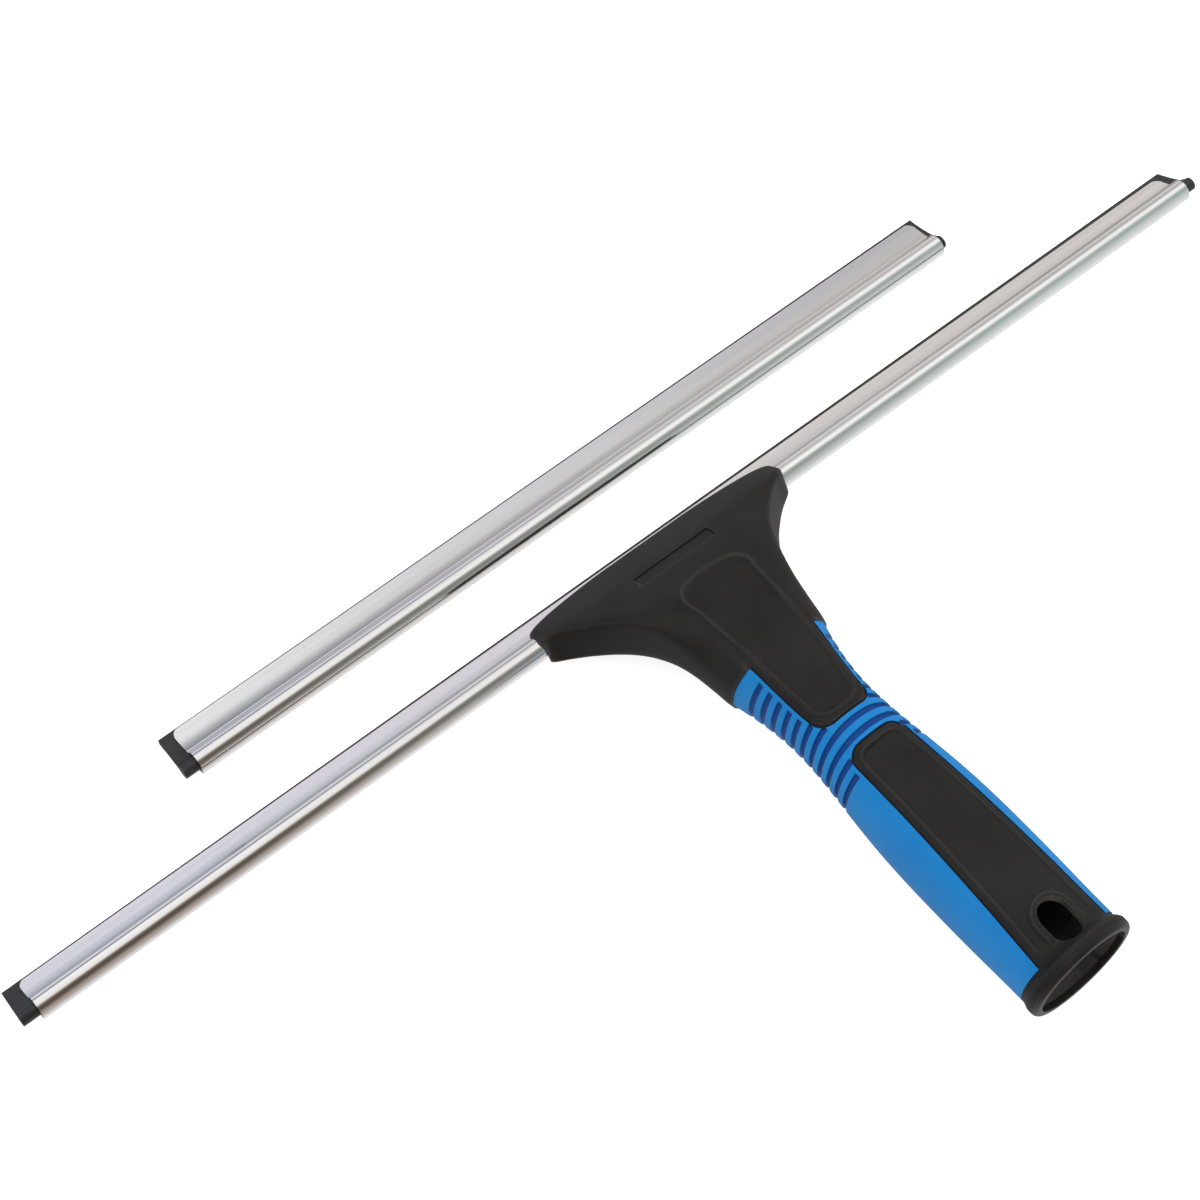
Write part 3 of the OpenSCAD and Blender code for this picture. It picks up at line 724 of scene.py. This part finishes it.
class Finish:
    """Small helper that adds nodes to one material and joins them up."""

    def __init__(self, name):
        self.material = bpy.data.materials.new(name)
        self.material.use_nodes = True
        self.tree = self.material.node_tree
        self.shader = self.tree.nodes["Principled BSDF"]
        self.coord = self.tree.nodes.new("ShaderNodeTexCoord").outputs["Object"]

    def node(self, kind, inputs=None, **settings):
        made = self.tree.nodes.new(kind)
        for key, value in settings.items():
            setattr(made, key, value)
        for key, value in (inputs or {}).items():
            if isinstance(value, bpy.types.NodeSocket):
                self.tree.links.new(value, made.inputs[key])
            else:
                made.inputs[key].default_value = value
        return made

    def grain(self, scale, stretch=(1, 1, 1), detail=3.0, rough=0.55):
        placed = self.node("ShaderNodeMapping", {"Vector": self.coord, "Scale": stretch})
        return self.node("ShaderNodeTexNoise", {"Vector": placed.outputs[0], "Scale": scale,
                                                "Detail": detail, "Roughness": rough}).outputs["Fac"]

    def ramp(self, fac, stops):
        made = self.node("ShaderNodeValToRGB", {"Fac": fac})
        ramp = made.color_ramp
        while len(ramp.elements) < len(stops):
            ramp.elements.new(0.5)
        for element, (place, colour) in zip(ramp.elements, stops):
            element.position = place
            element.color = (*colour, 1) if len(colour) == 3 else colour
        return made.outputs["Color"]

    def tint(self, fac, body, colour):
        """The body colour, turned towards another where fac is high."""
        made = self.node("ShaderNodeMix", data_type="RGBA")
        self.tree.links.new(fac, made.inputs[0])
        self.tree.links.new(body, made.inputs[6])
        made.inputs[7].default_value = (*colour, 1)
        return made.outputs[2]

    def between(self, fac, low, high):
        return self.node("ShaderNodeMapRange", {"Value": fac, "To Min": low, "To Max": high}).outputs[0]

    def bump(self, height, strength, distance, normal=None):
        inputs = {"Height": height, "Strength": strength, "Distance": distance}
        if normal:
            inputs["Normal"] = normal
        return self.node("ShaderNodeBump", inputs).outputs["Normal"]

    def set(self, **values):
        for key, value in values.items():
            socket = self.shader.inputs[key.replace("_", " ")]
            if isinstance(value, bpy.types.NodeSocket):
                self.tree.links.new(value, socket)
            else:
                socket.default_value = value
        return self.material


def moulded_black(name, dark=(0.0066, 0.0062, 0.0061), light=(0.0115, 0.0109, 0.0105)):
    """Hard satin plastic, mottled, with its ridges painted a little lighter: partly rubbed wear, partly a
    painted highlight along the ridges.
    """
    f = Finish(name)
    mottle = f.grain(55, detail=4)
    fine = f.grain(2600, detail=2)
    edge = f.node("ShaderNodeNewGeometry").outputs["Pointiness"]
    body = f.ramp(mottle, [(0.35, dark), (0.7, light)])
    # Pointiness tints sharp ridges a lighter grey: partly real rubbed wear, partly a painted highlight
    wear_and_painted_highlight = f.ramp(edge, [(0.508, (0, 0, 0)), (0.56, (0.45, 0.45, 0.45))])
    colour = f.tint(wear_and_painted_highlight, body, (0.07, 0.068, 0.066))
    rough = f.between(mottle, 0.40, 0.52)
    bump = f.bump(fine, 0.25, 0.00004, f.bump(mottle, 0.1, 0.0003))
    return f.set(Base_Color=colour, Roughness=rough, Normal=bump, Specular_IOR_Level=0.2)


def soft_blue(name):
    """Soft-touch blue, with painted shade darkening the groove floors."""
    f = Finish(name)
    cloud = f.grain(40, detail=3)
    fine = f.grain(1800, detail=2)
    deep = f.node("ShaderNodeAttribute", attribute_name="groove").outputs["Fac"]
    body = f.ramp(cloud, [(0.3, (0.005, 0.145, 0.40)), (0.72, (0.008, 0.175, 0.45))])
    # Painted shade: the blue turns deep navy where the groove attribute is high
    colour = f.tint(deep, body, (0.003, 0.040, 0.19))
    bump = f.bump(fine, 0.2, 0.00004)
    return f.set(Base_Color=colour, Roughness=f.between(cloud, 0.45, 0.55), Normal=bump,
                 Specular_IOR_Level=0.16)


def bright_steel(name):
    """Polished sheet with its grain along the blades."""
    f = Finish(name)
    lines = f.grain(1, (3.0, 2600, 2600), detail=2)
    wide = f.grain(1, (6.0, 260, 260), detail=3)
    tone = f.ramp(wide, [(0.3, (0.74, 0.735, 0.75)), (0.75, (0.86, 0.855, 0.865))])
    bump = f.bump(lines, 0.06, 0.00002, f.bump(wide, 0.05, 0.00006))
    return f.set(Base_Color=tone, Metallic=1.0, Roughness=f.between(lines, 0.12, 0.20), Normal=bump)


def wiping_rubber(name):
    """Dull extruded rubber with fine drawn lines and a little dust."""
    f = Finish(name)
    lines = f.grain(1, (20, 1800, 1800), detail=2)
    dust = f.grain(300, detail=4)
    tone = f.ramp(dust, [(0.35, (0.011, 0.011, 0.012)), (0.75, (0.021, 0.021, 0.023))])
    bump = f.bump(lines, 0.3, 0.00005)
    return f.set(Base_Color=tone, Roughness=f.between(dust, 0.42, 0.58), Normal=bump,
                 Specular_IOR_Level=0.45)


def turned_steel(name, tone_low, tone_high):
    """Ground or drawn wire steel for the small parts."""
    f = Finish(name)
    marks = f.grain(900, (1, 4, 4), detail=3)
    tone = f.ramp(marks, [(0.3, tone_low), (0.7, tone_high)])
    return f.set(Base_Color=tone, Metallic=1.0, Roughness=f.between(marks, 0.22, 0.4),
                 Normal=f.bump(marks, 0.1, 0.00003))


# ---------------------------------------------------------------- putting it together

black = moulded_black("black_plastic")
blue = soft_blue("blue_grip")
steel = bright_steel("channel_steel")
rubber = wiping_rubber("blade_rubber")

core = finish(make_core(), "handle", "handle_core", black)
grip = finish(make_grip(), "handle", "grip_sleeve", blue, 40)

# Painted shade for the groove floors: each point is marked by how far it lies under the plain grip
groove_shade_mark = grip.data.attributes.new("groove", "FLOAT", "POINT")
groove_shade_depths = []
for vertex in grip.data.vertices:
    x, y, z = (c / MM for c in vertex.co)
    deep = 0.0
    if GROOVES[0] - 3 < y < GROOVES[-1] + 5:
        ring = grip_ring(y)
        h = z - ring[1]
        reach = (abs(x) / ring[3]) ** 2.25 + (abs(h) / (ring[4] if h > 0 else ring[5])) ** 2.25
        deep = ease((1 - reach ** (1 / 2.25)) * ring[3] / 0.7 - 0.15)
    groove_shade_depths.append(deep)
groove_shade_mark.data.foreach_set("value", groove_shade_depths)

finish(make_channel("mounted_channel", LONG_LEN, 1.25, 2.6, long_put), "long_blade", "long_channel",
       steel)
finish(make_channel("spare_channel", SHORT_LEN, 0.6, 1.15, spare_put), "short_blade", "short_channel",
       steel)
finish(make_rubber("mounted_rubber", LONG_LEN, LONG_OVER_LEFT, LONG_OVER_RIGHT, long_put),
       "long_strip", "long_rubber", rubber)
finish(make_rubber("spare_rubber", SHORT_LEN, SHORT_OVER_LEFT, SHORT_OVER_RIGHT, spare_put),
       "short_strip", "short_rubber", rubber)

spring, spring_top = make_spring()
finish(spring, "handle", "lever_spring",
       turned_steel("spring_steel", (0.4, 0.4, 0.42), (0.58, 0.58, 0.6)), 60)
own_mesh(spring)

kept = {
    "lock_lever": moulded_black("lever_plastic", (0.018, 0.018, 0.019), (0.03, 0.03, 0.031)),
    "jaw_pad": wiping_rubber("pad_rubber"),
    "lever_pin": turned_steel("pin_steel", (0.5, 0.5, 0.51), (0.66, 0.66, 0.67)),
}
clip = moulded_black("clip_plastic", (0.008, 0.008, 0.008), (0.014, 0.014, 0.014))
for end in ("long_clip_left", "long_clip_right", "short_clip_left", "short_clip_right"):
    kept[end] = clip
for node, material in kept.items():
    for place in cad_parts[node].material_slots:
        place.material = material

# ---------------------------------------------------------------- floor, light and camera

lay_down_tools()
bpy.ops.mesh.primitive_plane_add(size=6, location=(0, 0, FLOOR_Z * MM - 0.0001))
table = bpy.context.object
table.name = "floor"
bpy.ops.object.transform_apply(location=True, rotation=True, scale=True)
f = Finish("pale_floor")
speck = f.grain(30, detail=2)
table.data.materials.append(f.set(
    Base_Color=f.ramp(speck, [(0.3, (0.40, 0.40, 0.40)), (0.7, (0.42, 0.42, 0.42))]), Roughness=0.9,
    Specular_IOR_Level=0.1, Emission_Color=(1, 1, 1, 1), Emission_Strength=0.84))
table.visible_glossy = False

world = bpy.context.scene.world or bpy.data.worlds.new("studio")
bpy.context.scene.world = world
world.use_nodes = True
tree = world.node_tree
tree.nodes.clear()
out = tree.nodes.new("ShaderNodeOutputWorld")


def studio(kind, **settings):
    made = tree.nodes.new(kind)
    for key, value in settings.items():
        setattr(made, key, value)
    return made


def panels(fac, stops):
    """Long soft panels seen only in reflections, one behind another round the blades' axis."""
    made = studio("ShaderNodeValToRGB")
    tree.links.new(fac, made.inputs[0])
    while len(made.color_ramp.elements) < len(stops):
        made.color_ramp.elements.new(0.5)
    for element, (degrees, colour) in zip(made.color_ramp.elements, stops):
        element.position = (degrees + 180) / 360
        element.color = (*colour, 1)
    return made.outputs[0]


way = studio("ShaderNodeTexCoord")
parts = studio("ShaderNodeSeparateXYZ")
tree.links.new(way.outputs["Generated"], parts.inputs[0])
angle = studio("ShaderNodeMath", operation="ARCTAN2")
tree.links.new(parts.outputs[1], angle.inputs[0])
tree.links.new(parts.outputs[2], angle.inputs[1])
spread = studio("ShaderNodeMapRange")
spread.inputs["From Min"].default_value = -math.pi
spread.inputs["From Max"].default_value = math.pi
tree.links.new(angle.outputs[0], spread.inputs["Value"])
near = panels(spread.outputs[0], [
    (-150, (0.85, 0.84, 0.84)), (-112, (0.50, 0.44, 0.40)), (-84, (0.36, 0.30, 0.255)),
    (-62, (0.13, 0.10, 0.082)), (-42, (0.075, 0.055, 0.042)), (-24, (0.20, 0.155, 0.12)),
    (-10, (0.90, 0.87, 0.81)), (32, (1.0, 1.0, 0.99)), (41, (0.90, 0.91, 0.90)),
    (47, (0.28, 0.29, 0.31)), (56, (0.17, 0.17, 0.19)), (62, (0.72, 0.71, 0.77)),
    (74, (0.80, 0.78, 0.86)), (82, (0.50, 0.53, 0.60)), (96, (0.36, 0.36, 0.41)),
    (130, (0.40, 0.40, 0.43))])
far = panels(spread.outputs[0], [
    (-150, (0.85, 0.86, 0.85)), (-100, (0.66, 0.70, 0.68)), (-62, (0.50, 0.56, 0.54)),
    (-42, (0.36, 0.42, 0.40)), (-20, (0.50, 0.55, 0.53)), (-6, (0.97, 0.98, 0.96)),
    (18, (1.0, 1.0, 0.98)), (29, (0.56, 0.55, 0.54)), (35, (0.42, 0.42, 0.45)),
    (43, (0.60, 0.58, 0.56)), (50, (0.48, 0.45, 0.42)), (62, (0.66, 0.63, 0.60)),
    (76, (0.74, 0.70, 0.65)), (84, (0.60, 0.57, 0.54)), (96, (0.32, 0.32, 0.32)),
    (130, (0.36, 0.35, 0.34))])
along_blades = studio("ShaderNodeMapRange", interpolation_type="SMOOTHSTEP")
along_blades.inputs["From Min"].default_value = 0.12
along_blades.inputs["From Max"].default_value = 0.52
tree.links.new(parts.outputs[0], along_blades.inputs["Value"])
both = studio("ShaderNodeMix", data_type="RGBA")
tree.links.new(along_blades.outputs[0], both.inputs[0])
tree.links.new(near, both.inputs[6])
tree.links.new(far, both.inputs[7])
seen = studio("ShaderNodeBackground")
tree.links.new(both.outputs[2], seen.inputs["Color"])
seen.inputs["Strength"].default_value = 1.12
plain = studio("ShaderNodeBackground")
plain.inputs["Color"].default_value = (1, 1, 1, 1)
plain.inputs["Strength"].default_value = 0.72
rays = studio("ShaderNodeLightPath")
share = studio("ShaderNodeMixShader")
tree.links.new(rays.outputs["Is Glossy Ray"], share.inputs[0])
tree.links.new(plain.outputs[0], share.inputs[1])
tree.links.new(seen.outputs[0], share.inputs[2])
tree.links.new(share.outputs[0], out.inputs["Surface"])


def strip_light(name, place, aim, size, power, colour=(1, 1, 1)):
    lay_down_tools()
    bpy.ops.object.light_add(type="AREA", location=[c * MM for c in place])
    lamp = bpy.context.object
    lamp.name = name
    lamp.data.shape = "RECTANGLE"
    lamp.data.size, lamp.data.size_y = size[0] * MM, size[1] * MM
    lamp.data.energy = power
    lamp.data.color = colour
    way = Vector([(b - a) for a, b in zip(place, aim)])
    lamp.rotation_euler = way.to_track_quat("-Z", "Y").to_euler()
    lamp.visible_glossy = False
    return lamp


strip_light("overhead", (-200, 300, 900), (0, 120, 0), (900, 500), 6)
strip_light("right", (700, 100, 500), (0, 120, 0), (500, 500), 3)

camera_data = bpy.data.cameras.new("view")
camera_data.sensor_width = 36
camera_data.lens = 76.44
camera_data.clip_start = 0.01
camera = bpy.data.objects.new("view", camera_data)
bpy.context.scene.collection.objects.link(camera)
a, el, roll = math.radians(39.31), math.radians(59.55), math.radians(-0.30)
right = Vector((math.cos(a), -math.sin(a), 0))
ahead = Vector((math.sin(a) * math.cos(el), math.cos(a) * math.cos(el), -math.sin(el)))
above = right.cross(ahead)
side = right * math.cos(roll) + above * math.sin(roll)
top = above * math.cos(roll) - right * math.sin(roll)
turn = Matrix((side, top, -ahead)).transposed().to_4x4()
camera.matrix_world = Matrix.Translation(Vector((-0.2673, -0.12034, 0.64663))) @ turn
bpy.context.scene.camera = camera
bpy.context.scene.view_settings.view_transform = "Standard"
bpy.context.scene.view_settings.look = "None"
